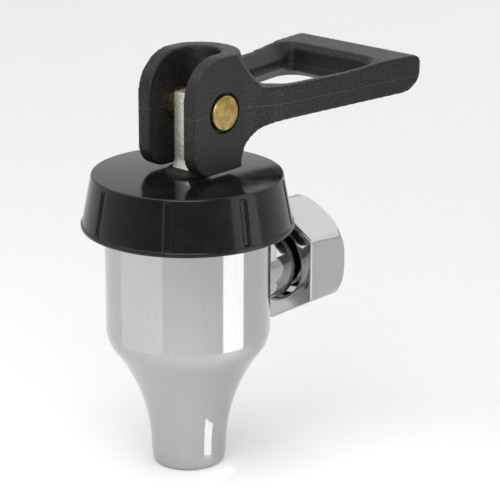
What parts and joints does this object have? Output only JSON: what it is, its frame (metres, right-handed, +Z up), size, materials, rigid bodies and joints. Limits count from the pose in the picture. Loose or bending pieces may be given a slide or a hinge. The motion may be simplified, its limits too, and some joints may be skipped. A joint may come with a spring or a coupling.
{
  "type": "coffee urn spigot",
  "caption": "Self-closing urn spigot: chromed bell-shaped body, black screwed bonnet and a finger-loop lever that lifts a sprung stem; a loose union nut holds the side inlet.",
  "frame": {"origin": "centre of the union nut's thread at its outer end, where the urn's threaded stub enters", "axes": "+Z up along the tap's axis, +Y along the inlet towards the urn, X across"},
  "size_m": [0.041, 0.0723, 0.0822],
  "materials": {
    "chromed_brass": "polished chrome plate",
    "black_phenolic": "glossy moulded black",
    "silicone": "translucent off-white silicone",
    "black_rubber": "flat cut rubber",
    "stainless": "bright drawn stainless",
    "cast_nickel": "grainy cast, dull nickel",
    "brass": "turned brass",
    "black_nylon": "fine spark-eroded matte grain"
  },
  "bodies": {
    "body": {"tap_body": "chromed_brass", "bonnet": "black_phenolic", "seat_cup": "silicone", "inlet_tail": "chromed_brass", "tail_gasket": "black_rubber"},
    "swivel": {"thrust_washer": "stainless"},
    "stem": {"stem": "cast_nickel", "spring": "stainless", "pivot_stud_left": "brass", "pivot_stud_right": "brass"},
    "lever": {"lever": "black_nylon"},
    "nut": {"union_nut": "chromed_brass"}
  },
  "joints": [
    {"name": "lever_swivel", "type": "hinge", "parent": "body", "child": "swivel", "pos_m": [0, -0.0338, 0.021], "axis": [0, 0, 1], "continuous": true},
    {"name": "stem_lift", "type": "slide", "parent": "swivel", "child": "stem", "axis": [0, 0, 1], "range_m": [0, 0.001], "stiffness_N_per_m": 1500, "springref_m": -0.008, "deforming": ["spring", "seat_cup"]},
    {"name": "lever_press", "type": "hinge", "parent": "stem", "child": "lever", "pos_m": [0, -0.0314, 0.0363], "axis": [-1, 0, 0], "range_deg": [0, 24]},
    {"name": "nut_spin", "type": "hinge", "parent": "body", "child": "nut", "pos_m": [0, 0, 0], "axis": [0, 1, 0], "continuous": true}
  ],
  "couplings": [
    {"joint": "lever_press", "follows": "stem_lift", "rad_per_m": 416.67}
  ]
}
